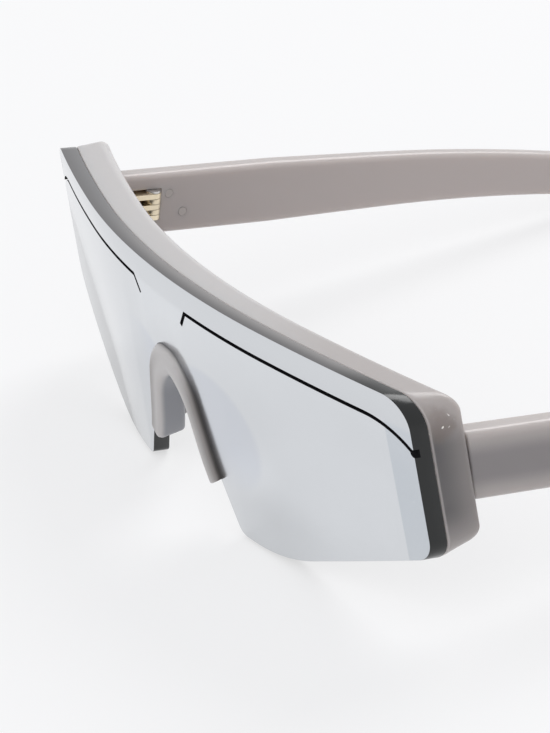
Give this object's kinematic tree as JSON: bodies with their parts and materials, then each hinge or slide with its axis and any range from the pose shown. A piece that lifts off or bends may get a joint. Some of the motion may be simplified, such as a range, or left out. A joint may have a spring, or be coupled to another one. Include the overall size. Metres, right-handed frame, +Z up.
{
  "type": "shield sunglasses",
  "caption": "Wraparound shield sunglasses with a mirrored one-piece lens, a translucent brow frame, a nose saddle and folding temples on barrel hinges.",
  "frame": {"origin": "centre of the pair's bounding box, on the surface that it stands on with its low lens edge and its temple tips", "axes": "+X to the wearer's left, +Y back along the temples from the lens to the ears, +Z up from the surface"},
  "size_m": [0.139, 0.1416, 0.0492],
  "materials": {
    "lens": "silver mirror coating on polycarbonate",
    "frame": "polished translucent warm grey",
    "bridge": "translucent pale grey",
    "hinge": "satin",
    "screws": "satin",
    "core": "matt"
  },
  "bodies": {
    "front": {"shield_lens": "lens", "front_frame": "frame", "nose_bridge": "bridge", "lens_screws": "screws", "front_leaf_left": "hinge", "front_leaf_right": "hinge", "front_leaf_screws": "screws", "hinge_screws": "screws"},
    "left_temple": {"temple_left": "frame", "temple_leaf_left": "hinge", "temple_rivets_left": "screws", "core_wire_left": "core"},
    "right_temple": {"temple_right": "frame", "temple_leaf_right": "hinge", "temple_rivets_right": "screws", "core_wire_right": "core"}
  },
  "joints": [
    {"name": "left_temple_fold", "type": "hinge", "parent": "front", "child": "left_temple", "pos_m": [0.0633, -0.04128, 0.02991], "axis": [0, 0.1802, 0.9836], "range_deg": [0, 86.5]},
    {"name": "right_temple_fold", "type": "hinge", "parent": "front", "child": "right_temple", "pos_m": [-0.0633, -0.04128, 0.02991], "axis": [0, -0.1802, -0.9836], "range_deg": [0, 93.5]}
  ]
}
